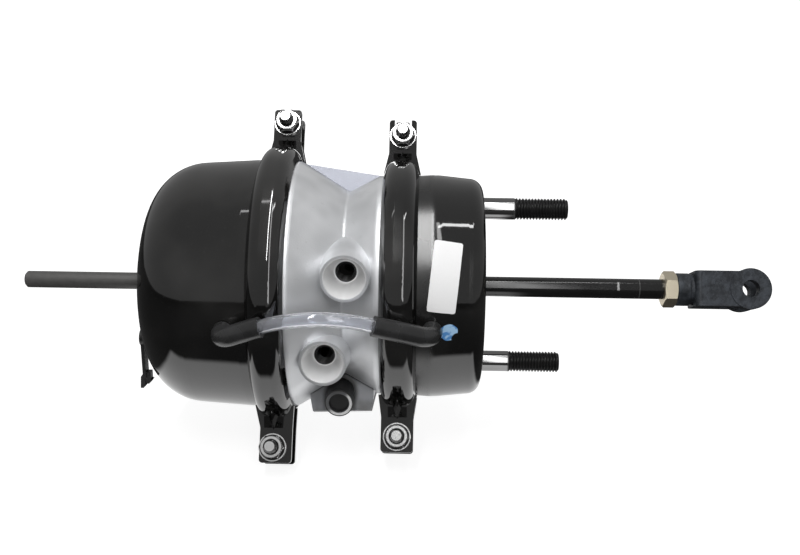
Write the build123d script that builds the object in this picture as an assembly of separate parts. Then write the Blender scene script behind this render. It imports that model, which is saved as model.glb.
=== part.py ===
from build123d import *
import math
import os

os.makedirs("parts", exist_ok=True)

# A spring brake chamber with two diaphragms, as bolted to the axle bracket of a truck or
# trailer. Its parking side holds a strong spring and its service side pushes the rod to the
# brake lever. Millimetres. The origin is the centre of the mounting face, +X runs out along
# the push rod, and +Z is up, with one mounting stud above the rod and one below it.

# Chamber sizes: each side is a steel bowl, a cast bowl and a diaphragm held by a V clamp
service_split_x = -60.3
parking_split_x = -149.6
service_flange_height = 6.7
parking_flange_height = 6.8
stroke = 57.0
steel_wall = 3.4
running_gap = 0.05
overrun = 1.0

# V clamp section
clamp_wall = 3.2
clamp_leg_height = 9.3
clamp_flank_degrees = 22.0
clamp_crown_round = 9.0
channel_round = 2.2
clamp_seat_gap = 0.2
bead_half = 3.3
rim_round = 2.0

# Clamp ears and their bolts
split_tilt_degrees = 29.6
ear_reach = 21.0
ear_end = 11.0
ear_width = 21.0
lower_ear_width = 23.4
parking_lower_ear_shift = 2.0
ear_wall = 3.2
ear_gap = 18.4
ear_corner = 2.5
ear_root_round = 5.0
ear_bend = 7.0
gusset_reach = 17.0
gusset_rise = 9.0
gusset_half = 6.0
fork_slot_width = 13.0
fork_end = 13.0
bolt_radius = 4.75
bolt_hole_radius = 5.4
bolt_tail = 7.5
bolt_head_height = 6.0
nut_across_flats = 15.5
nut_height = 7.5
washer_radius = 10.0
washer_wall = 1.8

# Steel bowl of the parking side
head_body_radius = 92.6
head_taper = 2.0
head_end_x = -244.0
head_corner_round = 43.0
head_dome = 3.0
recess_radius = 21.0
recess_depth = 15.0
head_hole_radius = 8.0

# Steel bowl of the service side
housing_body_radius = 83.4
housing_taper = 2.4
housing_corner_length = 12.0
housing_corner_round = 10.0
housing_ease = 1.0
housing_waist_round = 40.0
housing_shoulder_round = 20.0
rod_hole_radius = 17.0

# Aluminium centre casting
valley_x = -99.0
valley_depth = 22.0
parking_rim_step = 0.6
parking_rim_x = -135.0
service_rim_step = 1.4
service_rim_x = -76.0
parking_floor_x = -109.0
service_floor_x = -90.3
parking_bowl_wall = 6.0
parking_bowl_slope = 20.0
service_bowl_wall = 4.5
service_bowl_slope = 14.5
bowl_round = 8.0
bowl_edge = 2.0
rim_blend = 6.0
foot_round = 1.5
valley_round = 2.5
web_wall = 7.0
web_angles = [67.0, 337.0, 292.0]
web_step = 0.4
web_rise = 1.0
web_root = 3.0

# Threaded ports that face the front, one for each side
port_face_y = -85.0
port_height = 30.6
service_port_x = -96.0
parking_port_x = -111.5
port_face_radius = 16.4
port_base_radius = 20.0
port_mouth_radius = 14.2
port_bore_radius = 7.0
port_step = 1.2
port_mouth_depth = 17.0
port_bore_depth = 12.0
port_root_y = -48.0
passage_radius = 3.0
passage_inset = 2.0
passage_run = 12.0

# Boss block under the ports with the plugged hole
block_angle = 244.0
block_parking_x = -122.5
block_service_x = -79.5
block_stand = 4.5
block_depth = 40.0
block_width = 27.0
block_draft = 9.0
block_lean = 1.5
plug_hole_x = -102.0
plug_hole_z = -68.5
plug_face_y = -66.0
plug_hole_radius = 7.2
plug_boss_radius = 10.2
plug_relief_radius = 13.0
plug_relief_depth = 5.0
plug_depth = 9.0
plug_inset = 2.0

# Mounting studs
stud_circle_radius = 60.325
stud_radius = 7.94
stud_neck_radius = 8.5
stud_tip_x = 62.0
stud_tip_chamfer = 1.6
stud_head_radius = 12.0
stud_head_height = 5.0
stud_head_round = 1.5
stud_plate_wall = 5.0
stud_plate_width = 40.0
stud_plate_margin = 8.5

# Push rod, jam nut and yoke
pushrod_radius = 7.5
pushrod_tip_x = 170.0
pushrod_tip_chamfer = 1.2
push_plate_radius = 50.0
push_plate_wall = 3.5
push_lip_rise = 2.0
push_lip = 1.5
push_dish = 5.0
push_hub_radius = 13.0
push_hub_height = 11.0
jam_nut_x = 136.5
jam_nut_height = 9.5
jam_nut_across_flats = 23.8
jam_nut_turn_degrees = 12.0
yoke_neck_radius = 12.3
yoke_neck_end_x = 158.3
yoke_groove_radius = 11.2
yoke_groove_width = 2.4
yoke_pin_x = 198.5
yoke_pin_radius = 6.35
yoke_ear_radius = 15.2
yoke_body_height = 26.2
yoke_width = 28.0
yoke_slot_width = 14.0
yoke_slot_x = 172.0
yoke_boss_rise = 0.8
yoke_cheek_inset = 4.0
yoke_corner_round = 4.0
yoke_turn_degrees = -24.0

# Diaphragms
diaphragm_wall = 3.0
diaphragm_rim_gap = 1.0
diaphragm_round = 1.0
flat_gap = 0.3

# Rod between the two diaphragms, its bush and its seals
adapter_radius = 9.0
adapter_plate_radius = 44.0
adapter_plate_wall = 4.0
adapter_stop_gap = 5.0
adapter_tip_chamfer = 1.0
adapter_plate_round = 1.5
bush_radius = 13.0
bush_length = 11.0
seal_radius = 12.4
seal_width = 3.8
seal_land = 2.4

# Spring piston and release bolt
piston_radius = 66.0
piston_wall = 4.0
piston_lip = 3.0
piston_tube_radius = 23.0
piston_tube_wall = 3.2
piston_tube_end_x = -225.0
release_bolt_radius = 6.35
release_tip_x = -346.0
release_tip_chamfer = 1.5
release_head_length = 30.0
release_head_width = 12.0
release_head_height = 9.0
release_nut_flats = 23.8
release_nut_height = 9.0
release_washer_radius = 15.5
release_washer_wall = 2.5

# Springs, each wire with flat sides and laid in straight lengths to keep it light
lengths_per_turn = 14
wire_sides = 8
power_wire = 11.0
power_turns = 4.2
power_wide_radius = 58.0
power_narrow_radius = 44.0
return_wire = 4.0
return_turns = 4.5
return_wide_radius = 42.0
return_narrow_radius = 24.0
adapter_wire = 3.0
adapter_turns = 4.0
adapter_wide_radius = 36.0
adapter_narrow_radius = 18.0

# Dust plug that hangs on its strap from the end of the parking side
dust_y = -36.0
dust_top_z = -32.0
dust_strap_x = -248.6
dust_strap_width = 9.0
dust_strap_wall = 2.4
dust_strap_drop = 31.0
dust_prong_length = 9.0
dust_prong_width = 3.2
dust_prong_lean = 0.6
dust_prong_sink = 2.0
dust_prong_step = 3.5
dust_barb = 1.2
dust_barb_height = 3.0
dust_button_radius = 6.0

# Vent hose between the two steel bowls
hose_radius = 4.8
hose_bore_radius = 3.2
elbow_radius = 6.9
elbow_rest_gap = 0.3
parking_elbow_x = -177.5
parking_elbow_drop = 3.0
parking_elbow_stand = 14.6
service_elbow_x = -36.5
service_elbow_drop = 3.6
service_elbow_stand = 14.8
elbow_grip = 9.0
elbow_bend_share = 0.7
nipple_radius = 3.0
nipple_depth = 4.0
nipple_inset = 2.0
hose_points = [
    (-157.0, -111.6, 2.8),
    (-137.0, -113.9, 9.4),
    (-113.0, -113.9, 12.4),
    (-88.0, -110.6, 9.7),
    (-67.0, -106.2, 3.4),
]


# Values worked out from the sizes above
flank_slope = math.tan(math.radians(clamp_flank_degrees))
flank_wall = clamp_wall / math.cos(math.radians(clamp_flank_degrees))
pack_half = bead_half + steel_wall
service_flange_radius = housing_body_radius + service_flange_height
parking_flange_radius = head_body_radius + parking_flange_height
service_clamp_radius = service_flange_radius + clamp_seat_gap + clamp_wall
parking_clamp_radius = parking_flange_radius + clamp_seat_gap + clamp_wall
head_end_radius = head_body_radius - head_taper
housing_end_radius = housing_body_radius - housing_taper
parking_rim_radius = head_body_radius - parking_rim_step
service_rim_radius = housing_body_radius - service_rim_step
valley_radius = parking_rim_radius - valley_depth
parking_bowl_radius = parking_rim_radius - parking_bowl_wall
parking_floor_radius = parking_bowl_radius - parking_bowl_slope
service_bowl_radius = service_rim_radius - service_bowl_wall
service_floor_radius = service_bowl_radius - service_bowl_slope
web_parking_radius = parking_rim_radius - web_step
web_service_radius = service_rim_radius + web_rise
block_radius = parking_rim_radius + block_stand
parking_elbow_reach = head_body_radius + parking_elbow_stand
service_elbow_reach = housing_body_radius + service_elbow_stand
ear_inner = ear_gap / 2
ear_outer = ear_inner + ear_wall
adapter_plate_x = parking_floor_x - stroke - adapter_plate_wall - adapter_stop_gap


def turned(points, radii=None, start=0.0, sweep_degrees=360.0):
    """Solid turned about X from (x, r) points, each corner with its own radius."""
    radii = radii or [0.0] * len(points)
    outline = FilletPolyline(*points, radius=radii, close=True)
    face = Rot(X=start) * make_face(outline)
    return revolve(face, Axis.X, sweep_degrees)


def rod(x_low, x_high, radius):
    """Round bar along X."""
    return Pos((x_low + x_high) / 2, 0, 0) * Rot(Y=90) * Cylinder(radius, x_high - x_low)


def hex_bar(x_low, x_high, across_flats):
    """Hexagon bar along X."""
    outline = Plane.YZ.offset(x_low) * RegularPolygon(across_flats / 2, 6, major_radius=False)
    return extrude(outline, x_high - x_low)


def flank(radius, flange_radius):
    """Half width of the clamped flanges at a radius."""
    return pack_half + (flange_radius - radius) * flank_slope


def chamfered_hex(x_low, x_high, across_flats, bore_radius):
    """Hexagon nut along X with turned corners and a plain bore."""
    corner = across_flats / math.sqrt(3)
    ease = corner - across_flats / 2
    outline = [
        (x_low, 0),
        (x_low, corner - ease),
        (x_low + ease / 2, corner),
        (x_high - ease / 2, corner),
        (x_high, corner - ease),
        (x_high, 0),
    ]
    blank = hex_bar(x_low, x_high, across_flats) & turned(outline)
    return blank - rod(x_low - overrun, x_high + overrun, bore_radius)


def clamp_band(split_x, clamp_radius):
    """Front half of a V clamp's ring, before its channel is cut."""
    tip = clamp_radius - clamp_leg_height
    crest_half = pack_half + clamp_seat_gap - clamp_wall * flank_slope + flank_wall
    tip_half = crest_half + clamp_leg_height * flank_slope
    outline = [
        (-tip_half, tip),
        (-crest_half, clamp_radius),
        (crest_half, clamp_radius),
        (tip_half, tip),
    ]
    radii = [0, clamp_crown_round, clamp_crown_round, 0]
    gap_angle = math.degrees(math.asin(ear_outer / clamp_radius))
    face = make_face(FilletPolyline(*outline, radius=radii, close=True))
    face = Rot(X=90 + gap_angle) * face
    return Pos(split_x, 0, 0) * revolve(face, Axis.X, 180 - 2 * gap_angle)


def clamp_ear(split_x, clamp_radius, width, shift=0.0, forked=False):
    """Flat ear at the top end of the front half, with its root and its bolt hole."""
    tip = clamp_radius - clamp_leg_height
    hole_z = clamp_radius + ear_reach
    end_z = hole_z + (fork_end if forked else ear_end)
    root_half = pack_half + clamp_seat_gap + clamp_leg_height * flank_slope + flank_wall
    low_x = shift - width / 2
    high_x = shift + width / 2
    neck_z = clamp_radius + ear_bend
    outline = FilletPolyline(
        (-root_half, tip),
        (low_x, neck_z),
        (low_x, end_z),
        (high_x, end_z),
        (high_x, neck_z),
        (root_half, tip),
        radius=[0, ear_root_round, ear_corner, ear_corner, ear_root_round, 0],
        close=True,
    )
    plate = extrude(Plane.XZ * make_face(outline), ear_wall)
    plate = Pos(split_x, -ear_inner, 0) * plate
    hole = Rot(X=90) * Cylinder(bolt_hole_radius, 4 * ear_outer)
    plate -= Pos(split_x, 0, hole_z) * hole
    if forked:
        slot = Box(fork_slot_width, 4 * ear_outer, 2 * fork_end)
        plate -= Pos(split_x, 0, hole_z + fork_end) * slot
    return plate


def clamp_bend(split_x, clamp_radius, half):
    """Hollow corner where the pressed band bends out of its crown into the ear."""
    start_z = clamp_radius - clamp_leg_height / 2
    crown_y = -math.sqrt((clamp_radius - clamp_wall) ** 2 - start_z**2)
    bend = [
        (-ear_outer, start_z),
        (crown_y, start_z),
        (-ear_outer - ear_bend / 2, clamp_radius - clamp_wall / 4),
        (-ear_outer, clamp_radius + ear_bend),
    ]
    side = make_face(FilletPolyline(*bend, radius=[0, 0, ear_bend, 0], close=True))
    return Pos(split_x, 0, 0) * extrude(Plane.YZ * side, half, both=True)


def clamp_gusset(split_x, clamp_radius):
    """Pointed stiffening fold in the bend, its apex on the crown."""
    foot_z = clamp_radius - clamp_wall
    apex_y = -ear_outer - gusset_reach
    apex_z = math.sqrt(clamp_radius**2 - apex_y**2) - clamp_wall / 4
    base = Polyline(
        (-gusset_half, foot_z),
        (gusset_half, foot_z),
        (0, clamp_radius + gusset_rise),
        close=True,
    )
    base = Pos(0, -ear_outer + clamp_wall / 4, 0) * (Plane.XZ * make_face(base))
    return Pos(split_x, 0, 0) * loft([base.face(), Vertex(0, apex_y, apex_z)])


def clamp_channel(split_x, clamp_radius):
    """Room inside a clamp's channel for the two flanges, all the way round."""
    crest = clamp_radius - clamp_wall
    low = clamp_radius - 2 * clamp_leg_height
    half_crest = pack_half + clamp_seat_gap
    half_low = half_crest + (crest - low) * flank_slope
    outline = [(-half_low, low), (-half_crest, crest), (half_crest, crest), (half_low, low)]
    return Pos(split_x, 0, 0) * turned(outline, [0, channel_round, channel_round, 0])


def clamp_end(split_x, clamp_radius, width, shift=0.0, forked=False):
    """Ear, bend and gusset at the top end of the front half."""
    end = clamp_ear(split_x, clamp_radius, width, shift, forked)
    end += clamp_bend(split_x, clamp_radius, pack_half + clamp_seat_gap)
    return end + clamp_gusset(split_x, clamp_radius)


def clamp_half(split_x, clamp_radius, shift=0.0, forked=False):
    """Front half of a V clamp with both ears, in the untilted clamp frame."""
    upper = clamp_end(split_x, clamp_radius, ear_width, forked=forked)
    lower = clamp_end(split_x, clamp_radius, lower_ear_width, shift)
    blank = clamp_band(split_x, clamp_radius) + upper + mirror(lower, Plane.XY)
    return blank - clamp_channel(split_x, clamp_radius)


def tilted(shape):
    """Turn a clamp piece from its own frame to where the clamp stands on the chamber."""
    return Rot(X=-split_tilt_degrees) * shape


def bolt_places(split_x, clamp_radius):
    """Centres of the two clamp bolts, at the top and bottom ears."""
    reach = clamp_radius + ear_reach
    return [(split_x, 0, reach), (split_x, 0, -reach)]


def clamp_bolts(split_x, clamp_radius):
    """Both bolts of one clamp, their heads behind and their tails in front."""
    grip = ear_outer + flat_gap
    tail = ear_outer + washer_wall + nut_height + bolt_tail
    shank = rod(-grip, tail, bolt_radius)
    head = chamfered_hex(-grip - bolt_head_height, -grip, nut_across_flats, bolt_radius / 2)
    head += rod(-grip - bolt_head_height, -grip, bolt_radius)
    bolt = Rot(Z=-90) * (shank + head)
    return Compound([Pos(*place) * bolt for place in bolt_places(split_x, clamp_radius)])


def clamp_nuts(split_x, clamp_radius):
    """Nuts on the front ears."""
    low = ear_outer + washer_wall + 2 * running_gap
    nut = chamfered_hex(low, low + nut_height, nut_across_flats, bolt_radius + running_gap)
    nut = Rot(Z=-90) * nut
    return Compound([Pos(*place) * nut for place in bolt_places(split_x, clamp_radius)])


def clamp_washers(split_x, clamp_radius):
    """Plain washers under the nuts."""
    low = ear_outer + running_gap
    washer = rod(low, low + washer_wall, washer_radius) - rod(0, 2 * low, bolt_hole_radius)
    washer = Rot(Z=-90) * washer
    return Compound([Pos(*place) * washer for place in bolt_places(split_x, clamp_radius)])


def parking_head():
    """Deep steel bowl of the parking side, with the recess for the release nut."""
    rim = parking_flange_radius
    side = parking_split_x - bead_half
    lip = parking_split_x - pack_half
    foot = parking_split_x - flank(head_body_radius, rim)
    inner = head_body_radius - steel_wall
    dome_x = head_end_x - head_dome
    taper_x = head_end_x + head_corner_round
    recess_x = dome_x + recess_depth
    outline = [
        (side, rim),
        (lip, rim),
        (foot, head_body_radius),
        (foot - clamp_leg_height, head_body_radius),
        (taper_x, head_end_radius),
        (head_end_x, head_end_radius - head_dome),
        (dome_x, recess_radius),
        (recess_x, recess_radius - steel_wall / 2),
        (recess_x, head_hole_radius),
        (recess_x + steel_wall, head_hole_radius),
        (recess_x + steel_wall, recess_radius + steel_wall / 2),
        (dome_x + steel_wall, recess_radius + steel_wall),
        (head_end_x + steel_wall, head_end_radius - head_dome - steel_wall),
        (taper_x, head_end_radius - steel_wall),
        (foot, inner),
        (side, inner + flat_gap),
    ]
    corner = head_corner_round
    radii = [0, rim_round, 1.5, 6, 30, corner - 1, 5, 2, 0, 0, 4, 2, corner - 4, 27, 6, 0]
    shell = turned(outline, radii)
    return shell - elbow_hole(parking_elbow_x, parking_elbow_drop)


def elbow_hole(place_x, drop_degrees):
    """Drill through a bowl wall for a vent nipple."""
    drill = Rot(X=90) * Cylinder(nipple_radius + running_gap, 2 * parking_clamp_radius)
    drill = Pos(place_x, -parking_clamp_radius, 0) * drill
    return Rot(X=drop_degrees) * drill


def service_housing():
    """Steel bowl of the service side; its flat end is the mounting face."""
    rim = service_flange_radius
    side = service_split_x + bead_half
    lip = service_split_x + pack_half
    foot = service_split_x + flank(housing_body_radius, rim)
    inner = housing_body_radius - steel_wall
    bulge_x = 2 * foot / 3
    outline = [
        (side, rim),
        (lip, rim),
        (foot, housing_body_radius - housing_ease),
        (bulge_x, housing_body_radius),
        (-housing_corner_length, housing_end_radius),
        (0, housing_end_radius - housing_ease),
        (0, rod_hole_radius),
        (-steel_wall, rod_hole_radius),
        (-steel_wall, housing_end_radius - housing_ease - steel_wall),
        (-housing_corner_length, housing_end_radius - steel_wall),
        (bulge_x, inner),
        (foot, inner - housing_ease),
        (side, inner - housing_ease),
    ]
    bends = [housing_waist_round, housing_shoulder_round]
    outside = [rim_round, foot_round, *bends, housing_corner_round]
    inside = [housing_corner_round - steel_wall, *reversed(bends), rim_blend]
    shell = turned(outline, [0, *outside, 0, 0, *inside, 0])
    for height in (stud_circle_radius, -stud_circle_radius):
        shell -= Pos(0, 0, height) * rod(-2 * steel_wall, steel_wall, stud_neck_radius + running_gap)
    return shell - elbow_hole(service_elbow_x, service_elbow_drop)


def casting_blank():
    """Turned outside of the casting: two rims with a valley between them."""
    parking_rim = parking_flange_radius
    service_rim = service_flange_radius
    parking_side = parking_split_x + bead_half
    service_side = service_split_x - bead_half
    parking_foot = parking_split_x + flank(parking_rim_radius, parking_rim)
    service_foot = service_split_x - flank(service_rim_radius, service_rim)
    outline = [
        (parking_side, 0),
        (parking_side, parking_rim),
        (parking_split_x + pack_half, parking_rim),
        (parking_foot, parking_rim_radius),
        (parking_rim_x, parking_rim_radius),
        (valley_x, valley_radius),
        (service_rim_x, service_rim_radius),
        (service_foot, service_rim_radius),
        (service_split_x - pack_half, service_rim),
        (service_side, service_rim),
        (service_side, 0),
    ]
    radii = [0, 0, rim_round, foot_round, rim_blend, valley_round, rim_blend, foot_round]
    return turned(outline, radii + [rim_round, 0, 0])


def bowl_room(side_x, bowl_radius, floor_x, floor_radius):
    """Room of one bowl, from its clamped side to its floor, with an eased mouth."""
    edge_x = side_x + math.copysign(bowl_edge, floor_x - side_x)
    outline = [
        (side_x, 0),
        (side_x, bowl_radius + bowl_edge),
        (edge_x, bowl_radius),
        (floor_x, floor_radius),
        (floor_x, 0),
    ]
    return turned(outline, [0, 0, 0, bowl_round, 0])


def casting_web(angle):
    """One rib that ties the two rims across the valley."""
    low = valley_radius - bowl_round / 2
    outline = Polyline(
        (parking_rim_x - web_root, parking_rim_radius - web_root),
        (parking_rim_x, web_parking_radius),
        (service_rim_x, web_service_radius),
        (service_rim_x + web_root, service_rim_radius - web_root),
        (valley_x, low),
        close=True,
    )
    rib = extrude(make_face(outline), web_wall / 2, both=True)
    return Rot(X=angle) * rib


def port_boss(place_x, height):
    """Tapered boss of one port, standing out of the valley towards the front."""
    length = port_root_y - port_face_y
    boss = Cone(port_base_radius, port_face_radius, length)
    boss = Pos(place_x, port_root_y - length / 2, height) * Rot(X=90) * boss
    return boss


def port_hole(place_x, height):
    """Funnel mouth and tapped bore of one port."""
    mouth_end = port_face_y + port_mouth_depth
    funnel = Cone(port_bore_radius + port_step, port_mouth_radius, port_mouth_depth)
    funnel = Pos(place_x, mouth_end - port_mouth_depth / 2, height) * Rot(X=90) * funnel
    bore = Cylinder(port_bore_radius, port_bore_depth)
    bore = Pos(place_x, mouth_end + port_bore_depth / 2, height) * Rot(X=90) * bore
    return funnel + bore


def air_passage(start, end):
    """Drilled passage from a port into its bowl."""
    line = Line(start, end)
    return sweep(Plane(line @ 0, z_dir=line % 0) * Circle(passage_radius), line)


def boss_block():
    """Block below the ports, with flat feet, drafted sides and the boss of the plugged hole."""
    low = block_radius - block_depth
    outline = Polyline(
        (block_parking_x, block_radius),
        (block_service_x, block_radius - block_lean),
        (block_service_x + block_draft, low),
        (block_parking_x - block_draft, low),
        close=True,
    )
    block = extrude(make_face(outline), block_width / 2, both=True, taper=2)
    block = Rot(X=block_angle) * block
    place = Pos(plug_hole_x, 0, plug_hole_z) * Rot(X=90)
    reach = block_radius + plug_face_y + plug_relief_depth
    relief = Cylinder(plug_relief_radius, reach)
    block -= place * Pos(0, 0, block_radius - reach / 2) * relief
    length = -plug_face_y - block_depth / 2
    boss = Cylinder(plug_boss_radius, length)
    return block + place * Pos(0, 0, -plug_face_y - length / 2) * boss


def center_casting():
    """Aluminium casting between the two diaphragms."""
    body = casting_blank() + boss_block()
    for angle in web_angles:
        body += casting_web(angle)
    body += port_boss(service_port_x, port_height)
    body += port_boss(parking_port_x, -port_height)
    parking_side = parking_split_x + bead_half
    service_side = service_split_x - bead_half
    body -= bowl_room(parking_side, parking_bowl_radius, parking_floor_x, parking_floor_radius)
    body -= bowl_room(service_side, service_bowl_radius, service_floor_x, service_floor_radius)
    body -= rod(parking_floor_x, service_floor_x, adapter_radius + 4 * running_gap)
    body -= port_hole(service_port_x, port_height)
    body -= port_hole(parking_port_x, -port_height)
    bottom_y = port_face_y + port_mouth_depth + port_bore_depth - passage_inset
    end_y = bottom_y + passage_run
    body -= air_passage(
        (service_port_x, bottom_y, port_height),
        (service_floor_x + 2 * passage_radius, end_y, port_height),
    )
    body -= air_passage(
        (parking_port_x, bottom_y, -port_height),
        (parking_floor_x - 2 * passage_radius, end_y, -port_height),
    )
    hole = Cylinder(plug_hole_radius, 2 * plug_depth)
    body -= Pos(plug_hole_x, plug_face_y, plug_hole_z) * Rot(X=90) * hole
    bush_end = parking_floor_x + bush_length
    body -= rod(parking_floor_x, bush_end, bush_radius + running_gap)
    seal_x = bush_end + seal_land
    body -= rod(seal_x, seal_x + seal_width, seal_radius + running_gap)
    return body


def port_plug():
    """Plug pressed into the third hole, its face a little below the rim."""
    length = plug_depth - plug_inset
    plug = Cylinder(plug_hole_radius - running_gap, length)
    return Pos(plug_hole_x, plug_face_y + plug_depth - length / 2, plug_hole_z) * Rot(X=90) * plug


def rod_bushing():
    """Plain bush that guides the rod through the casting."""
    end = parking_floor_x + bush_length
    return rod(parking_floor_x, end, bush_radius) - rod(
        parking_floor_x, end, adapter_radius + running_gap
    )


def rod_seals():
    """Rubber seal in its groove beside the bush."""
    low = parking_floor_x + bush_length + seal_land + running_gap
    high = low + seal_width - 2 * running_gap
    return rod(low, high, seal_radius) - rod(low, high, adapter_radius + running_gap)


def parking_diaphragm():
    """Rubber diaphragm of the parking side, pushed back over the spring piston."""
    left = parking_split_x - bead_half
    right = parking_split_x + bead_half
    flat_right = adapter_plate_x
    flat_left = flat_right - diaphragm_wall
    outer = head_body_radius - steel_wall - flat_gap
    outline = [
        (left, parking_flange_radius - diaphragm_rim_gap),
        (right, parking_flange_radius - diaphragm_rim_gap),
        (right, outer - diaphragm_wall),
        (flat_right, outer - 2 * diaphragm_wall),
        (flat_right, 0),
        (flat_left, 0),
        (flat_left, outer - 1.2 * diaphragm_wall),
        (left, outer),
    ]
    return turned(outline, [1, 1, 1, 8, 0, 0, 11, 0])


def service_diaphragm():
    """Rubber diaphragm of the service side, lying in the casting's bowl."""
    left = service_split_x - bead_half
    right = service_split_x + bead_half
    back = service_floor_x + flat_gap
    front = back + diaphragm_wall
    outline = [
        (right, service_flange_radius - diaphragm_rim_gap),
        (left, service_flange_radius - diaphragm_rim_gap),
        (left, service_bowl_radius - flat_gap),
        (back, service_floor_radius - flat_gap),
        (back, 0),
        (front, 0),
        (front, service_floor_radius - diaphragm_wall),
        (right, service_bowl_radius - diaphragm_wall),
    ]
    edge = diaphragm_round
    hollow = [bowl_round + edge, 0, 0, bowl_round - 2 * edge]
    return turned(outline, [edge, edge, edge, *hollow, edge])


def adapter_rod():
    """Rod with a plate that carries the spring's push through to the service side."""
    plate_end = adapter_plate_x + flat_gap + adapter_plate_wall
    bar = rod(plate_end, service_floor_x, adapter_radius)
    bar = chamfer(bar.edges().sort_by(Axis.X)[-1], adapter_tip_chamfer)
    plate = turned(
        [
            (adapter_plate_x + flat_gap, 0),
            (adapter_plate_x + flat_gap, adapter_plate_radius),
            (plate_end, adapter_plate_radius),
            (plate_end, 0),
        ],
        [0, adapter_plate_round, adapter_plate_round, 0],
    )
    return plate + bar


def parking_piston():
    """Spring piston: a plate with a turned-up rim and the tube that holds the bolt's head."""
    face_x = adapter_plate_x - diaphragm_wall - flat_gap
    back_x = face_x - piston_wall
    tube = piston_tube_radius
    end_x = piston_tube_end_x
    outline = [
        (face_x, 0),
        (face_x, piston_radius),
        (back_x - 2 * piston_wall, piston_radius + piston_wall),
        (back_x - 2 * piston_wall, piston_radius + piston_wall - piston_lip),
        (back_x, piston_radius - piston_wall),
        (back_x, tube),
        (end_x, tube - piston_tube_wall / 2),
        (end_x, 0),
        (end_x + piston_wall, 0),
        (end_x + piston_wall, tube - piston_tube_wall * 1.5),
        (back_x, tube - piston_tube_wall),
        (back_x, 0),
    ]
    body = turned(outline, [0, 5, 0, 0, 3, 4, 3, 0, 0, 1, 1, 0])
    gap = 2 * flat_gap
    slot = Box(
        4 * piston_wall,
        2 * release_bolt_radius + gap,
        release_head_length + gap,
    )
    return body - Pos(end_x, 0, 0) * slot


def release_bolt():
    """Release bolt with its crosswise head turned and caught behind the piston's end wall."""
    head_low = piston_tube_end_x + piston_wall + running_gap
    head_high = head_low + release_head_height
    shank = rod(release_tip_x, head_high, release_bolt_radius)
    shank = chamfer(shank.edges().sort_by(Axis.X)[0], release_tip_chamfer)
    head = Pos((head_low + head_high) / 2, 0, 0) * Box(
        release_head_height, release_head_length, release_head_width
    )
    return shank + head


def recess_floor_x():
    """Outer face of the recess in the parking head's end."""
    return head_end_x - head_dome + recess_depth


def release_washer():
    """Washer on the floor of the recess."""
    high = recess_floor_x() - running_gap
    low = high - release_washer_wall
    return rod(low, high, release_washer_radius) - rod(low, high, head_hole_radius)


def release_nut():
    """Nut that holds the release bolt drawn out."""
    high = recess_floor_x() - release_washer_wall - 2 * running_gap
    return chamfered_hex(
        high - release_nut_height,
        high,
        release_nut_flats,
        release_bolt_radius + 2 * running_gap,
    )


def cone_spring(x_low, x_high, radius_low, radius_high, wire, turns):
    """Wire coiled on a cone about X in short mitred lengths, between both ends."""
    low = x_low + wire / 2
    high = x_high - wire / 2
    count = round(turns * lengths_per_turn)
    points = []
    for step in range(count + 1):
        share = step / count
        radius = radius_low + (radius_high - radius_low) * share
        angle = 2 * math.pi * turns * share
        x = low + (high - low) * share
        points.append((x, radius * math.cos(angle), radius * math.sin(angle)))
    coil = Polyline(*points)
    section = Plane(coil @ 0, z_dir=coil % 0) * RegularPolygon(wire / 2, wire_sides)
    return sweep(section, coil, transition=Transition.RIGHT)


def power_spring():
    """Heavy spring of the parking side, held compressed."""
    low = head_end_x + steel_wall + flat_gap
    high = adapter_plate_x - diaphragm_wall - piston_wall - 3 * flat_gap
    return cone_spring(low, high, power_narrow_radius, power_wide_radius, power_wire, power_turns)


def parking_return_spring():
    """Light spring that keeps the rod's plate against the parking diaphragm."""
    low = adapter_plate_x + adapter_plate_wall + 2 * flat_gap
    high = parking_floor_x - flat_gap
    return cone_spring(
        low, high, adapter_wide_radius, adapter_narrow_radius, adapter_wire, adapter_turns
    )


def service_return_spring():
    """Cone spring that pushes the service plate and its rod back."""
    low = push_plate_face() + push_plate_wall + flat_gap
    high = -steel_wall - stud_plate_wall - flat_gap
    return cone_spring(
        low, high, return_wide_radius, return_narrow_radius, return_wire, return_turns
    )


def push_plate_face():
    """Left face of the push plate, just clear of the service diaphragm."""
    return service_floor_x + diaphragm_wall + 2 * flat_gap


def push_plate():
    """Dished plate that the service diaphragm pushes, with the hub for the rod."""
    face = push_plate_face()
    back = face + push_plate_wall
    outline = [
        (face, 0),
        (face, push_plate_radius),
        (back + push_lip_rise, push_plate_radius + push_lip),
        (back + push_lip_rise, push_plate_radius - push_lip),
        (back, push_plate_radius - push_dish),
        (back, push_hub_radius),
        (back + push_hub_height, push_hub_radius - push_lip),
        (back + push_hub_height, pushrod_radius + running_gap),
        (back, pushrod_radius + running_gap),
        (back, 0),
    ]
    return turned(outline, [0, 3, 0, 0, 2, 3, 1, 0, 0, 0])


def pushrod():
    """Round push rod from the plate's hub to the yoke."""
    bar = rod(push_plate_face() + push_plate_wall, pushrod_tip_x, pushrod_radius)
    return chamfer(bar.edges().sort_by(Axis.X)[-1], pushrod_tip_chamfer)


def jam_nut():
    """Hexagon nut that locks the yoke on the rod."""
    nut = chamfered_hex(
        jam_nut_x, jam_nut_x + jam_nut_height, jam_nut_across_flats, pushrod_radius + running_gap
    )
    return Rot(X=jam_nut_turn_degrees) * nut


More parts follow.
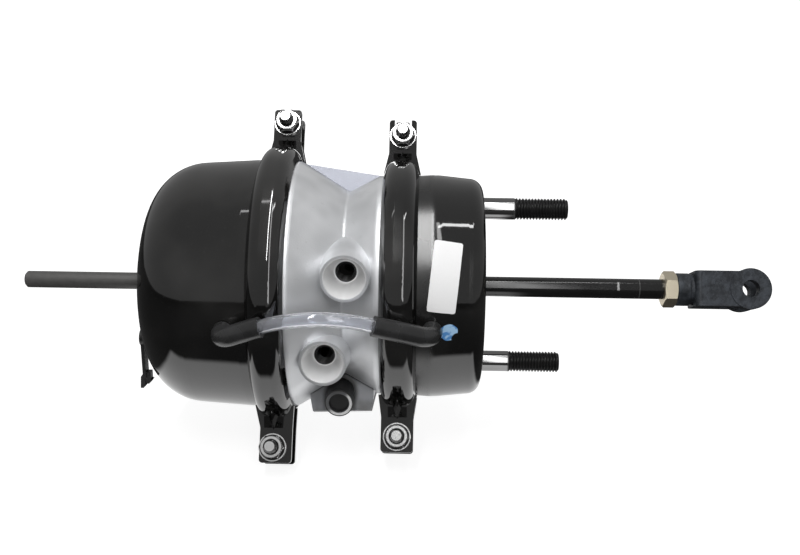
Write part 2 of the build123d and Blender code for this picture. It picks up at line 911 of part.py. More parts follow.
def yoke():
    """Forged fork with round ears, bored for the brake lever's pin."""
    low = jam_nut_x + jam_nut_height + running_gap
    neck = turned(
        [
            (low, 0),
            (low, yoke_neck_radius),
            (yoke_neck_end_x - yoke_groove_width, yoke_neck_radius),
            (yoke_neck_end_x - yoke_groove_width, yoke_groove_radius),
            (yoke_neck_end_x + overrun, yoke_groove_radius),
            (yoke_neck_end_x + overrun, 0),
        ],
        [0, 1.2, 0.8, 0, 0, 0],
    )
    half_height = yoke_body_height / 2
    side = Polyline(
        (yoke_neck_end_x, -half_height),
        (yoke_pin_x - yoke_cheek_inset, -half_height),
        (yoke_pin_x - yoke_cheek_inset, half_height),
        (yoke_neck_end_x, half_height),
        close=True,
    )
    body = extrude(Plane.XZ * make_face(side), yoke_width / 2, both=True)
    plan = FilletPolyline(
        (yoke_neck_end_x, -yoke_width / 2),
        (yoke_pin_x + 2 * yoke_ear_radius, -yoke_width / 2),
        (yoke_pin_x + 2 * yoke_ear_radius, yoke_width / 2),
        (yoke_neck_end_x, yoke_width / 2),
        radius=[yoke_corner_round, 0, 0, yoke_corner_round],
        close=True,
    )
    limit = extrude(make_face(plan), 2 * yoke_ear_radius, both=True)
    boss_width = yoke_width + 2 * yoke_boss_rise
    boss = Pos(yoke_pin_x, 0, 0) * Rot(X=90) * Cylinder(yoke_ear_radius, boss_width)
    fork = (body & limit) + boss
    crotch = Pos(yoke_slot_x, 0, 0) * Cylinder(yoke_slot_width / 2, 3 * yoke_ear_radius)
    slot_length = 3 * yoke_ear_radius
    slot = Box(2 * slot_length, yoke_slot_width, 3 * yoke_ear_radius)
    slot = Pos(yoke_slot_x + slot_length, 0, 0) * slot
    pin_hole = Rot(X=90) * Cylinder(yoke_pin_radius, 2 * yoke_width)
    fork -= crotch + slot
    fork -= Pos(yoke_pin_x, 0, 0) * pin_hole
    rod_end = pushrod_tip_x + 2 * overrun
    whole = neck + fork - rod(low - overrun, rod_end, pushrod_radius + running_gap)
    return Rot(X=yoke_turn_degrees) * whole


def stud(height):
    """One mounting stud with its head behind the plate inside the housing."""
    back = -steel_wall - stud_plate_wall
    bar = rod(0, stud_tip_x, stud_radius)
    bar = chamfer(bar.edges().sort_by(Axis.X)[-1], stud_tip_chamfer)
    bar += rod(back, 0, stud_neck_radius)
    head = rod(back - stud_head_height, back, stud_head_radius)
    head = fillet(head.edges().sort_by(Axis.X)[0], stud_head_round)
    return Pos(0, 0, height) * (bar + head)


def stud_plate():
    """Stiffening plate inside the end of the service housing."""
    outline = SlotOverall(2 * (stud_circle_radius + stud_plate_margin), stud_plate_width)
    outline += Circle(rod_hole_radius + 2 * stud_head_radius)
    outline -= Circle(rod_hole_radius)
    plate = Plane.YZ * Rot(Z=90) * outline
    plate = extrude(Pos(-steel_wall - stud_plate_wall, 0, 0) * plate, stud_plate_wall)
    for height in (stud_circle_radius, -stud_circle_radius):
        hole = rod(-steel_wall - 2 * stud_plate_wall, 0, stud_neck_radius + running_gap)
        plate -= Pos(0, 0, height) * hole
    return plate


def radial_point(place_x, drop_degrees, reach):
    """Point in front of the chamber at a reach from the axis."""
    drop = math.radians(drop_degrees)
    return Vector(place_x, -reach * math.cos(drop), -reach * math.sin(drop))


def tube_along(points, radii, outer, inner=0.0):
    """Tube along straight runs and tangent arcs."""
    path = FilletPolyline(*points, radius=radii) if len(points) > 2 else Line(*points)
    plane = Plane(path @ 0, z_dir=path % 0)
    solid = sweep(plane * Circle(outer), path)
    return solid - sweep(plane * Circle(inner), path) if inner else solid


def vent_elbow(place_x, drop_degrees, reach, body_radius, hose_end, hose_next):
    """Rubber elbow: a bent tube from its nipple to a socket that grips the hose."""
    foot = radial_point(place_x, drop_degrees, body_radius + elbow_rest_gap)
    corner = radial_point(place_x, drop_degrees, reach)
    end = Vector(*hose_end)
    along = (Vector(*hose_next) - end).normalized()
    mouth = end + along * elbow_grip
    turn = math.radians((corner - foot).get_angle(end - corner))
    short = min((corner - foot).length, (end - corner).length)
    bend = elbow_bend_share * short / math.tan(turn / 2)
    ease = math.radians((end - corner).get_angle(along))
    ease_radius = elbow_bend_share * elbow_grip / 2 / math.tan(ease / 2)
    outer = tube_along([foot, corner, end, mouth], [bend, ease_radius], elbow_radius)
    core = tube_along([foot, corner, end], [bend], nipple_radius + running_gap)
    socket = tube_along([end - along * flat_gap, mouth], None, hose_radius + running_gap)
    return outer - core - socket


def hose_radii(points):
    """Bend radius at each inner point of the hose, as large as its runs allow."""
    radii = []
    for before, here, after in zip(points, points[1:], points[2:]):
        run_in = Vector(*here) - Vector(*before)
        run_out = Vector(*after) - Vector(*here)
        turn = math.radians(run_in.get_angle(run_out))
        radii.append(0.45 * min(run_in.length, run_out.length) / math.tan(turn / 2))
    return radii


def vent_hose():
    """Clear hose over both clamps, between the two elbows."""
    return tube_along(hose_points, hose_radii(hose_points), hose_radius, hose_bore_radius)


def vent_nipple(place_x, drop_degrees, body_radius):
    """Short metal tube through a bowl wall that carries the elbow."""
    low = body_radius - steel_wall - nipple_inset
    high = body_radius + nipple_depth
    tube = Cylinder(nipple_radius, high - low) - Cylinder(nipple_radius / 2, high - low)
    tube = Pos(place_x, -(low + high) / 2, 0) * Rot(X=90) * tube
    return Rot(X=drop_degrees) * tube


def keyhole_plug():
    """Dust plug on its strap: a button, a flat strap and two barbed prongs."""
    button = Rot(Y=90) * Cylinder(dust_button_radius, dust_strap_wall + 1)
    button = Pos(dust_strap_x, dust_y, dust_top_z) * button
    low_z = dust_top_z - dust_strap_drop
    strap = Box(dust_strap_wall, dust_strap_width, dust_strap_drop)
    strap = Pos(dust_strap_x, dust_y, (dust_top_z + low_z) / 2) * strap
    plug = button + strap
    barb_z = dust_barb_height - dust_prong_length
    prong = Polyline(
        (0, 0),
        (dust_prong_width, 0),
        (dust_prong_width, barb_z),
        (dust_prong_width + dust_barb, barb_z),
        (dust_prong_width / 2, -dust_prong_length),
        (-dust_prong_lean, -dust_prong_length),
        close=True,
    )
    prong = extrude(Plane.XZ * make_face(prong), dust_strap_width / 3, both=True)
    root_x = dust_strap_x + dust_strap_wall / 2
    root_z = low_z + dust_prong_lean
    plug += Pos(root_x - dust_strap_wall - dust_prong_sink, dust_y, root_z) * prong
    plug += Pos(root_x, dust_y, root_z + dust_prong_step) * prong
    return plug


def write(name, shape):
    export_step(shape, f"parts/{name}.step")


write("parking_head", parking_head())
write("center_casting", center_casting())
write("service_housing", service_housing())

for ring, split_x, radius, shift in (
    ("parking", parking_split_x, parking_clamp_radius, parking_lower_ear_shift),
    ("service", service_split_x, service_clamp_radius, 0.0),
):
    front = clamp_half(split_x, radius, shift, forked=ring == "service")
    rear = mirror(front, Plane.XZ)
    write(f"{ring}_clamp_front", tilted(front))
    write(f"{ring}_clamp_rear", tilted(rear))
    write(f"{ring}_clamp_bolts", tilted(clamp_bolts(split_x, radius)))
    write(f"{ring}_clamp_nuts", tilted(clamp_nuts(split_x, radius)))
    write(f"{ring}_clamp_washers", tilted(clamp_washers(split_x, radius)))

write("parking_diaphragm", parking_diaphragm())
write("service_diaphragm", service_diaphragm())
write("parking_piston", parking_piston())
write("adapter_rod", adapter_rod())
write("release_bolt", release_bolt())
write("release_nut", release_nut())
write("release_washer", release_washer())
write("power_spring", power_spring())
write("parking_return_spring", parking_return_spring())
write("service_return_spring", service_return_spring())
write("rod_bushing", rod_bushing())
write("rod_seals", rod_seals())
write("push_plate", push_plate())
write("pushrod", pushrod())
write("jam_nut", jam_nut())
write("yoke", yoke())
write("stud_upper", stud(stud_circle_radius))
write("stud_lower", stud(-stud_circle_radius))
write("stud_plate", stud_plate())
write("port_plug", port_plug())
write("keyhole_plug", keyhole_plug())
write("vent_hose", vent_hose())
write(
    "vent_elbow_parking",
    vent_elbow(
        parking_elbow_x,
        parking_elbow_drop,
        parking_elbow_reach,
        head_body_radius,
        hose_points[0],
        hose_points[1],
    ),
)
write(
    "vent_elbow_service",
    vent_elbow(
        service_elbow_x,
        service_elbow_drop,
        service_elbow_reach,
        housing_body_radius,
        hose_points[-1],
        hose_points[-2],
    ),
)
write("vent_nipple_parking", vent_nipple(parking_elbow_x, parking_elbow_drop, head_body_radius))
write(
    "vent_nipple_service", vent_nipple(service_elbow_x, service_elbow_drop, housing_body_radius)
)
print("hose bend radii", [round(radius, 1) for radius in hose_radii(hose_points)])
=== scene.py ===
# %% [markdown]
# # A spring brake chamber, dressed for its picture
# The chamber is the can that works a truck's brake. Its parts were measured and modelled as
# solids first, so this file never moves them. It gives each one its finish, adds the small
# things that are too fine for solids, such as screw threads, and sets up light and camera.
# The first lines load the solids, each at its own place and in metres.

# %% load the solids
import math

import bpy
from mathutils import Matrix, Vector
from mathutils.bvhtree import BVHTree


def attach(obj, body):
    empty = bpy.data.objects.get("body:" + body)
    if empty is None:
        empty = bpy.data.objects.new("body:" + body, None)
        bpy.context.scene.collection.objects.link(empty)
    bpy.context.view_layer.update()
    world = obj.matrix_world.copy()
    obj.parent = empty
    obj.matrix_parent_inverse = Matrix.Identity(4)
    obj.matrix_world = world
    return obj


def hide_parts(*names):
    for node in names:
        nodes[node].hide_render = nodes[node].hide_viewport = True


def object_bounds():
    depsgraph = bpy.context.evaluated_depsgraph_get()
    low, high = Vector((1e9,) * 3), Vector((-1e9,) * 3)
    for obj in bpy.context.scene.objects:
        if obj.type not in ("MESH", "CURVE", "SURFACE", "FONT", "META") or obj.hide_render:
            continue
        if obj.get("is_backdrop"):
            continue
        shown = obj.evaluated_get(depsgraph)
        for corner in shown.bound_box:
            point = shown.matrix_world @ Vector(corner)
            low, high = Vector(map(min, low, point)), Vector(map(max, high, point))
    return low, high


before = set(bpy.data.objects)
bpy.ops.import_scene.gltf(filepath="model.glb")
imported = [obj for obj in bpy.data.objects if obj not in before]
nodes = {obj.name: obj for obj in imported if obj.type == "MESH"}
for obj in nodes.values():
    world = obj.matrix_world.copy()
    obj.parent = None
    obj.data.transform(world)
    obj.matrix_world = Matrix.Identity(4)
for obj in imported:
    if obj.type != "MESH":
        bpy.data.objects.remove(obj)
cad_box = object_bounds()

scene = bpy.context.scene
print("solids loaded:", len(nodes))

# %% [markdown]
# ## Camera
# A picture of a product is easiest to match when the camera is settled before anything else.
# It stands in front of the chamber, a little above it, and looks down by about 17 degrees.
# Blender wants a lens in millimetres, but what was found from the object's known sizes is a
# focal length in pixels, so the lens is that length times the sensor's width per pixel.

# %% camera
IMAGE_WIDTH = 800
IMAGE_HEIGHT = 555
FOCAL_PIXELS = 997.4
OPTICAL_CENTRE = (397.3, 277.0)
CAMERA_PLACE = Vector((-0.0433, -0.7196, 0.2291))
VIEW_ALONG = Vector((-0.0257, 0.9549, -0.2956)).normalized()
VIEW_RIGHT = Vector((0.9995, 0.0293, 0.0077))

view_right = (VIEW_RIGHT - VIEW_ALONG * VIEW_RIGHT.dot(VIEW_ALONG)).normalized()
view_up = view_right.cross(VIEW_ALONG)
camera_data = bpy.data.cameras.new("camera")
camera_data.sensor_width = 36.0
camera_data.lens = FOCAL_PIXELS / IMAGE_WIDTH * camera_data.sensor_width
camera_data.shift_x = 0.5 - OPTICAL_CENTRE[0] / IMAGE_WIDTH
camera_data.shift_y = (OPTICAL_CENTRE[1] - IMAGE_HEIGHT / 2) / IMAGE_WIDTH
camera = bpy.data.objects.new("camera", camera_data)
turn = Matrix((view_right, view_up, -VIEW_ALONG)).transposed().to_4x4()
camera.matrix_world = Matrix.Translation(CAMERA_PLACE) @ turn
scene.collection.objects.link(camera)
scene.camera = camera
scene.view_settings.view_transform = "Standard"
print("lens", round(camera_data.lens, 2), "mm")

# %% [markdown]
# ## A pen for materials
# A material in Blender is a web of nodes. Drawing it by hand is pleasant, but writing it down
# gets long. Two small classes keep it short. `Wire` is one socket, and sums written with it
# add Math nodes. `Paint` is one material with its Principled shader, and its `node` method
# adds any other node: its type, its settings, then what goes into its sockets.

# %% wires
class Wire:
    """One output socket that can be used in sums."""

    def __init__(self, paint, socket):
        self.paint = paint
        self.socket = socket

    def sum(self, operation, first, second):
        return self.paint.node("Math", {"operation": operation}, {0: first, 1: second})

    def __add__(self, other):
        return self.sum("ADD", self, other)

    __radd__ = __add__

    def __sub__(self, other):
        return self.sum("SUBTRACT", self, other)

    def __rsub__(self, other):
        return self.sum("SUBTRACT", other, self)

    def __mul__(self, other):
        return self.sum("MULTIPLY", self, other)

    __rmul__ = __mul__

    def at_least(self, other):
        return self.sum("MAXIMUM", self, other)

    def at_most(self, other):
        return self.sum("MINIMUM", self, other)

    def size(self):
        return self.sum("ABSOLUTE", self, 0.0)


# %% paints
class Paint:
    """One material, built round its Principled shader."""

    def __init__(self, name, **look):
        self.material = bpy.data.materials.new(name)
        self.material.use_nodes = True
        self.tree = self.material.node_tree
        self.shader = self.tree.nodes["Principled BSDF"]
        self.feed(**look)

    def node(self, kind, settings=None, values=None, out=0):
        """Add a node and return one of its outputs."""
        made = self.tree.nodes.new("ShaderNode" + kind)
        settings = dict(settings or {})
        stops = settings.pop("stops", [])
        for key, value in settings.items():
            setattr(made, key, value)
        for index, (place, shade) in enumerate(stops):
            ramp = made.color_ramp.elements
            stop = ramp[index] if index < 2 else ramp.new(place)
            stop.position = place
            stop.color = shade
        for key, value in (values or {}).items():
            self.plug(made.inputs[key], value)
        return Wire(self, made.outputs[out])

    def plug(self, socket, value):
        """Join a wire to a socket, or set a plain value there."""
        if isinstance(value, Wire):
            self.tree.links.new(value.socket, socket)
        else:
            socket.default_value = value

    def feed(self, **feeds):
        """Set or join sockets of the shader by name."""
        for name, value in feeds.items():
            self.plug(self.shader.inputs[name.replace("_", " ")], value)

    def current(self, name):
        """The wire that feeds a socket of the shader so far."""
        return Wire(self, self.shader.inputs[name].links[0].from_socket)

    def place(self):
        """Place in the shared frame, in metres."""
        return self.node("TexCoord", out="Object")

    def along(self, axis):
        """Place along one axis of the shared frame."""
        return self.node("SeparateXYZ", values={0: self.place()}, out=axis)

    def noise(self, scale, detail=3.0, where=None, roughness=0.5):
        values = {"Scale": scale, "Detail": detail, "Roughness": roughness}
        values["Vector"] = where or self.place()
        return self.node("TexNoise", values=values)

    def ease(self, value, low, high):
        """A mask that grows smoothly from 0 at low to 1 at high."""
        settings = {"interpolation_type": "SMOOTHSTEP"}
        return self.node("MapRange", settings, {"Value": value, "From Min": low, "From Max": high})

    def between(self, mask, first, second):
        """The first colour where the mask is 0, the second where it is 1."""
        settings = {"data_type": "RGBA"}
        return self.node("Mix", settings, {0: mask, 6: first, 7: second}, out=2)

    def bump(self, height, depth, strength=1.0):
        values = {"Height": height, "Distance": depth, "Strength": strength}
        return self.node("Bump", values=values, out="Normal")

    def distance(self, point):
        """Distance from a point of the shared frame."""
        settings = {"operation": "DISTANCE"}
        return self.node("VectorMath", settings, {0: self.place(), 1: point}, out="Value")


# %% greys and dressing
def grey(level, tint=(1.0, 1.0, 1.0)):
    """A grey with a slight tint."""
    return (level * tint[0], level * tint[1], level * tint[2], 1.0)


def dress(paint, *names):
    """Give a finish to solids by name."""
    for name in names:
        for place in nodes[name].material_slots:
            place.material = paint.material
    print(paint.material.name, "on", ", ".join(names))


# %% [markdown]
# ## Floor
# A product picture on white needs a floor that the camera sees as white and that still takes
# a soft shadow. A white lamp can't do that without burning the pale parts out. So the floor
# glows by itself, but only for rays that come from the camera, through glass or from a
# reflection, and it adds no light to the object. Close to the chamber it glows a little less,
# which leaves room for the shadow. What the black paint mirrors is kept apart: a white sheet
# lies right under the can and shows as the grey band along its belly, and the floor around
# it stays dark, as with the black card that photographers put in front of gloss.

# %% floor sheet
FLOOR_GAP = 0.004
FLOOR_Z = cad_box[0].z - FLOOR_GAP
FLOOR_HALF = 30.0

floor_mesh = bpy.data.meshes.new("floor")
corners = [(x, y, FLOOR_Z) for x, y in ((-1, -1), (1, -1), (1, 1), (-1, 1))]
corners = [(x * FLOOR_HALF, y * FLOOR_HALF, z) for x, y, z in corners]
floor_mesh.from_pydata(corners, [], [(0, 1, 2, 3)])
floor = bpy.data.objects.new("floor", floor_mesh)
scene.collection.objects.link(floor)
floor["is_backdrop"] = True
print("floor at", round(FLOOR_Z * 1000), "mm")

# %% floor paint
FLOOR_MIDDLE = (-0.05, 0.0, FLOOR_Z)
NEAR_GLOW = 0.86
GLOW_GROWS = (0.3, 1.1)
SHEET_FRONT_Y = -0.13
SHEET_SIDES_X = (-0.30, 0.03)
SHEET_EDGE = 0.02

floor_paint = Paint("floor_white", Roughness=0.9)
seen = floor_paint.node("LightPath", out="Is Camera Ray")
through = floor_paint.node("LightPath", out="Is Transmission Ray")
mirrored = floor_paint.node("LightPath", out="Is Glossy Ray")
floor_x = floor_paint.along("X")
sheet = floor_paint.ease(floor_paint.along("Y"), SHEET_FRONT_Y - SHEET_EDGE, SHEET_FRONT_Y)
sheet = sheet * floor_paint.ease(floor_x, SHEET_SIDES_X[0] - SHEET_EDGE, SHEET_SIDES_X[0])
sheet = sheet * (1.0 - floor_paint.ease(floor_x, SHEET_SIDES_X[1], SHEET_SIDES_X[1] + SHEET_EDGE))
far = floor_paint.ease(floor_paint.distance(FLOOR_MIDDLE), *GLOW_GROWS)
glow_colour = floor_paint.between(far, grey(NEAR_GLOW), grey(1.0))
dark_card = mirrored * (1.0 - sheet)
floor_paint.feed(Base_Color=floor_paint.between(dark_card, grey(0.42), grey(0.05)))
plain_floor = Wire(floor_paint, floor_paint.shader.outputs[0])
glow = floor_paint.node("Emission", values={"Color": glow_colour, "Strength": 1.0})
both = floor_paint.node("AddShader", values={0: glow, 1: plain_floor})
lit = seen.at_least(through).at_least(mirrored * sheet)
shown = floor_paint.node("MixShader", values={0: lit, 1: plain_floor, 2: both})
surface = floor_paint.tree.nodes["Material Output"].inputs["Surface"]
floor_paint.plug(surface, shown)
floor_mesh.materials.append(floor_paint.material)
print("floor glows", NEAR_GLOW, "near the chamber")

# %% [markdown]
# ## Light
# Black gloss paint is lit by what it mirrors. One long soft box over the front, very narrow
# from side to side, gives the round clamp rings their thin bright strips. Its mirror image on
# the straight-sided bowls falls between them, on the cast body, so the bowls stay dark. A
# panel further right does the same for the studs. A strip above draws the line on the rod and
# the short one over the small bowl, and a small pane leaves a glint on the large bowl. The
# rest is a plain grey room, which the camera itself sees as white.

# %% lamps
def soft_box(name, place, aim, width, height, watts):
    """Area lamp at a place that faces a point, its height upright."""
    data = bpy.data.lights.new(name, "AREA")
    data.shape = "RECTANGLE"
    data.size = width
    data.size_y = height
    data.energy = watts
    made = bpy.data.objects.new(name, data)
    facing = (Vector(aim) - Vector(place)).to_track_quat("-Z", "Y")
    made.matrix_world = Matrix.Translation(Vector(place)) @ facing.to_matrix().to_4x4()
    scene.collection.objects.link(made)
    print(name, watts, "watts")


# Name, place, aim, width, height and watts of each lamp.
LAMPS = (
    ("key", (-0.235, -0.62, 1.45), (-0.235, 0.0, 0.0), 0.10, 1.7, 15.0),
    ("panel", (0.11, -0.75, 0.70), (0.04, 0.0, 0.02), 0.12, 1.7, 2.7),
    ("strip", (0.17, -0.17, 0.985), (0.06, 0.0, 0.0), 0.294, 0.05, 0.45),
    ("pane", (-0.424, -0.18, 1.5), (-0.164, 0.0, 0.0), 0.045, 0.3, 0.16),
)
for lamp in LAMPS:
    soft_box(*lamp)

# %% grey room with a white backdrop
ROOM_LEVEL = 0.34

world = bpy.data.worlds.new("room")
world.use_nodes = True
scene.world = world
world_nodes = world.node_tree.nodes
room = world_nodes["Background"]
room.inputs["Color"].default_value = grey(1.0)
room.inputs["Strength"].default_value = ROOM_LEVEL
white = world_nodes.new("ShaderNodeBackground")
white.inputs["Color"].default_value = grey(1.0)
to_camera = world_nodes.new("ShaderNodeLightPath")
backdrop = world_nodes.new("ShaderNodeMixShader")
world_links = world.node_tree.links
world_links.new(to_camera.outputs["Is Camera Ray"], backdrop.inputs[0])
world_links.new(room.outputs[0], backdrop.inputs[1])
world_links.new(white.outputs[0], backdrop.inputs[2])
world_links.new(backdrop.outputs[0], world_nodes["World Output"].inputs["Surface"])
print("room level", ROOM_LEVEL)

# %% [markdown]
# ## Black gloss paint
# The two bowls and the clamps are dipped in black enamel. It is never quite even: the film
# has a faint orange peel and slow waves, specks of dust stick to it, and handling leaves dull
# smears. A mirror would look like plastic, so noise moves the roughness and a very small bump
# bends the reflections. The colour stays almost black, a little brown.

# %% black paint
def black_enamel(name):
    """Black gloss with smears, specks and a wavy skin."""
    paint = Paint(name, IOR=1.75)
    smear = paint.ease(paint.noise(11.0, 3.0), 0.42, 0.66)
    speck = paint.ease(paint.noise(900.0, 2.0), 0.66, 0.74)
    colour = paint.between(smear, grey(0.002, (1.0, 0.97, 0.9)), grey(0.018, (1.0, 0.97, 0.92)))
    colour = paint.between(speck * 0.35, colour, grey(0.05))
    peel = paint.noise(260.0, 1.0)
    wave = paint.noise(28.0, 1.0)
    paint.feed(
        Base_Color=colour,
        Roughness=0.05 + smear * 0.05,
        Normal=paint.bump(peel * 0.1 + wave, 0.0003, 0.2),
    )
    return paint


enamel = black_enamel("black_enamel")
dress(
    enamel,
    "parking_head",
    "parking_clamp_front",
    "parking_clamp_rear",
    "service_clamp_front",
    "service_clamp_rear",
    "stud_plate",
)

# %% [markdown]
# ## Housing with a dab of marking paint
# The small bowl has the same black, and the fitter has left a dab of blue on it. The dab is a
# patch in the same material. Its shape is a short brush stroke: one round mask, with a second
# one bitten out of its lower right, both bent by noise. Between the clamp and the label the
# gloss is dulled, where hands have held the bowl.

# %% housing paint
DAB_PLACE = (-0.0250, -0.0831, -0.0072)
DAB_RADIUS = 0.0070
DAB_EDGE = 0.0004
BITE_PLACE = (-0.0188, -0.0829, -0.0122)
BITE_RADIUS = 0.0055
BITE_EDGE = 0.0005
DULL_ENDS_X = (-0.039, -0.033)
BLUE = (0.1, 0.3, 0.66, 1.0)
PALE_BLUE = (0.42, 0.66, 0.92, 1.0)

housing_paint = black_enamel("black_enamel_marked")
old_colour = housing_paint.current("Base Color")
old_roughness = housing_paint.current("Roughness")
wobble = housing_paint.noise(150.0, 1.0) * 0.002
off_centre = housing_paint.distance(DAB_PLACE) + wobble
bite = housing_paint.distance(BITE_PLACE) + wobble
dab = 1.0 - housing_paint.ease(off_centre, DAB_RADIUS, DAB_RADIUS + DAB_EDGE)
dab = dab * housing_paint.ease(bite, BITE_RADIUS, BITE_RADIUS + BITE_EDGE)
streak = housing_paint.ease(housing_paint.noise(260.0, 1.0), 0.45, 0.6)
dab_colour = housing_paint.between(streak, PALE_BLUE, BLUE)
dull = 1.0 - housing_paint.ease(housing_paint.along("X"), *DULL_ENDS_X)
housing_paint.feed(
    Base_Color=housing_paint.between(dab, old_colour, dab_colour),
    Roughness=old_roughness + dull * 0.22,
)
dress(housing_paint, "service_housing")

# %% [markdown]
# ## Cast aluminium
# The middle is cast, then only its faces and threads are machined. Cast skin is pale and
# grainy and hardly shines, so it is a rough metal with a fine bump. The port mouths are cut
# bright: a mask by distance from each port's axis smooths them, and the bores behind them are
# painted near black, as painted shade. The block below, which holds a plugged third hole, is
# painted dark and patchy, darkest round the plug, as painted shade, and only the lower right of
# that hole's cut rim is painted bright, as a painted highlight. Where a name holds a pair of
# numbers, a mask grows from the first to the second.

# %% cast aluminium
# Place along X and height of each port's axis, the service port first.
PORTS = ((-0.096, 0.0306), (-0.1115, -0.0306))
PORT_CUT_RADII = (0.0142, 0.0150)
PORT_CUT_Y = (-0.068, -0.066)
PORT_BORE_RADIUS = 0.007
BORE_SHADE_RADII = (0.0072, 0.0076)
BORE_SHADE_Y = (-0.0692, -0.068)
PORT_THREAD_Y = (-0.068, -0.0565)
BACK_SHADE_Y = (0.0, 0.02)
BACK_SHADE_Z = (0.05, 0.06)

cast = Paint("cast_aluminium")
skin = cast.noise(900.0, 3.0, roughness=0.6)
pits = cast.ease(cast.noise(260.0, 3.0), 0.64, 0.8)
cloud = cast.ease(cast.noise(26.0, 2.0), 0.32, 0.68)
flat_x = cast.along("X")
flat_y = cast.along("Y")
flat_z = cast.along("Z")


def from_hole(hole_x, hole_z):
    """Distance from the axis of a hole that runs from front to back."""
    across = cast.node("CombineXYZ", values={0: flat_x - hole_x, 1: 0.0, 2: flat_z - hole_z})
    return cast.node("VectorMath", {"operation": "LENGTH"}, {0: across}, out="Value")


from_port = from_hole(*PORTS[0]).at_most(from_hole(*PORTS[1]))
cut = 1.0 - cast.ease(from_port, *PORT_CUT_RADII)
cut = cut * (1.0 - cast.ease(flat_y, *PORT_CUT_Y))
# The bores are painted near black: painted shade deep in the holes.
bore = 1.0 - cast.ease(from_port, *BORE_SHADE_RADII)
bore = bore * cast.ease(flat_y, *BORE_SHADE_Y)
cast_colour = cast.between(cloud, grey(0.66, (0.985, 1.0, 1.02)), grey(0.86, (0.99, 1.0, 1.02)))
cast_colour = cast.between(pits * 0.3, cast_colour, grey(0.5))
cast_colour = cast.between(cut, cast_colour, grey(0.95))
cast_colour = cast.between(bore, cast_colour, grey(0.02))
print("ports at", PORTS)

# %% block under the ports, with painted shade
BLOCK_ANGLE = math.radians(244.0)
BLOCK_HALF = (0.0165, 0.0175)
BLOCK_LEFT_X = (-0.1245, -0.1235)
BLOCK_RIGHT_X = (-0.0785, -0.0775)
BLOCK_TOP_Z = (-0.032, -0.030)
PLUG_PLACE = (-0.102, -0.0685)
RIM_INNER_RADII = (0.0074, 0.0078)
RIM_OUTER_RADII = (0.0092, 0.0096)
RIM_HIGHLIGHT_HALF = (-0.003, 0.003)
PLUG_SHADE_RADII = (0.0098, 0.0145)
PLUG_SHADE_EDGE_RADII = (0.0135, 0.0145)

# How far a point lies in front of the block's tilted middle.
ahead = flat_y * math.sin(BLOCK_ANGLE) - flat_z * math.cos(BLOCK_ANGLE)
block = 1.0 - cast.ease(ahead, *BLOCK_HALF)
block = block * cast.ease(flat_x, *BLOCK_LEFT_X)
block = block * (1.0 - cast.ease(flat_x, *BLOCK_RIGHT_X))
block = block * (1.0 - cast.ease(flat_z, *BLOCK_TOP_Z))
# The block's faces are painted dark and patchy: painted shade.
block_mottle = cast.ease(cast.noise(45.0, 2.0), 0.3, 0.7)
block_shade_colour = cast.between(block_mottle, grey(0.13), grey(0.28, (0.97, 0.99, 1.04)))
from_plug = from_hole(*PLUG_PLACE)
boss_side = cast.ease(from_plug, *RIM_OUTER_RADII)
# The plug's cut rim is painted bright only on its lower right half: a painted highlight.
rim = cast.ease(from_plug, *RIM_INNER_RADII) * (1.0 - boss_side)
to_lower_right = flat_x - PLUG_PLACE[0] - (flat_z - PLUG_PLACE[1])
rim = rim * cast.ease(to_lower_right, *RIM_HIGHLIGHT_HALF)
# A darker ring round the plug is painted shade in its recess.
plug_shade = boss_side * (1.0 - cast.ease(from_plug, *PLUG_SHADE_RADII))
block_shade_colour = cast.between(plug_shade, block_shade_colour, grey(0.06))
block_shade_colour = cast.between(rim, block_shade_colour, grey(0.98))
shaded_block = block.at_least(1.0 - cast.ease(from_plug, *PLUG_SHADE_EDGE_RADII))
cast_colour = cast.between(shaded_block, cast_colour, block_shade_colour)
print("block turned by", round(math.degrees(BLOCK_ANGLE)), "degrees")

# %% finished casting
# The upper back, which shows over the valley, gets painted shade: greyer and a little blue.
back_shade = cast.ease(flat_y, *BACK_SHADE_Y) * cast.ease(flat_z, *BACK_SHADE_Z)
cast_colour = cast.between(back_shade, cast_colour, grey(0.42, (0.95, 0.98, 1.1)))
cast.feed(
    Base_Color=cast_colour,
    Metallic=0.72 - cut * 0.5,
    Roughness=0.4 + skin * 0.12 - cut * 0.22,
    Normal=cast.bump((skin + pits * -0.5) * (1.0 - cut), 0.0003, 0.35),
)
dress(cast, "center_casting")

# %% [markdown]
# ## Plated and forged parts
# Small metal parts carry the eye: bright zinc on nuts and fittings, yellow zinc on the rod's
# nut, forging scale on the fork. Each has its own noise, at the size of the real grain.

# %% plated metals
def plated(name, tint, level, roughness):
    """Cloudy metal plating of one tint."""
    paint = Paint(name, Metallic=1.0)
    grain = paint.noise(700.0, 2.0)
    cloud = paint.noise(90.0, 2.0)
    colour = paint.between(cloud, grey(level * 0.82, tint), grey(level, tint))
    paint.feed(
        Base_Color=colour,
        Roughness=roughness + grain * 0.08,
        Normal=paint.bump(grain, 0.00003, 0.15),
    )
    return paint


zinc = plated("bright_zinc", (1.0, 1.0, 0.99), 0.8, 0.16)
yellow_zinc = plated("yellow_zinc", (1.0, 0.9, 0.7), 0.85, 0.34)
bronze = plated("bronze", (1.0, 0.78, 0.5), 0.6, 0.3)
dress(zinc, "release_nut", "release_washer", "adapter_rod", "push_plate")
dress(zinc, "vent_nipple_parking", "vent_nipple_service")
dress(yellow_zinc, "jam_nut")
dress(bronze, "rod_bushing")

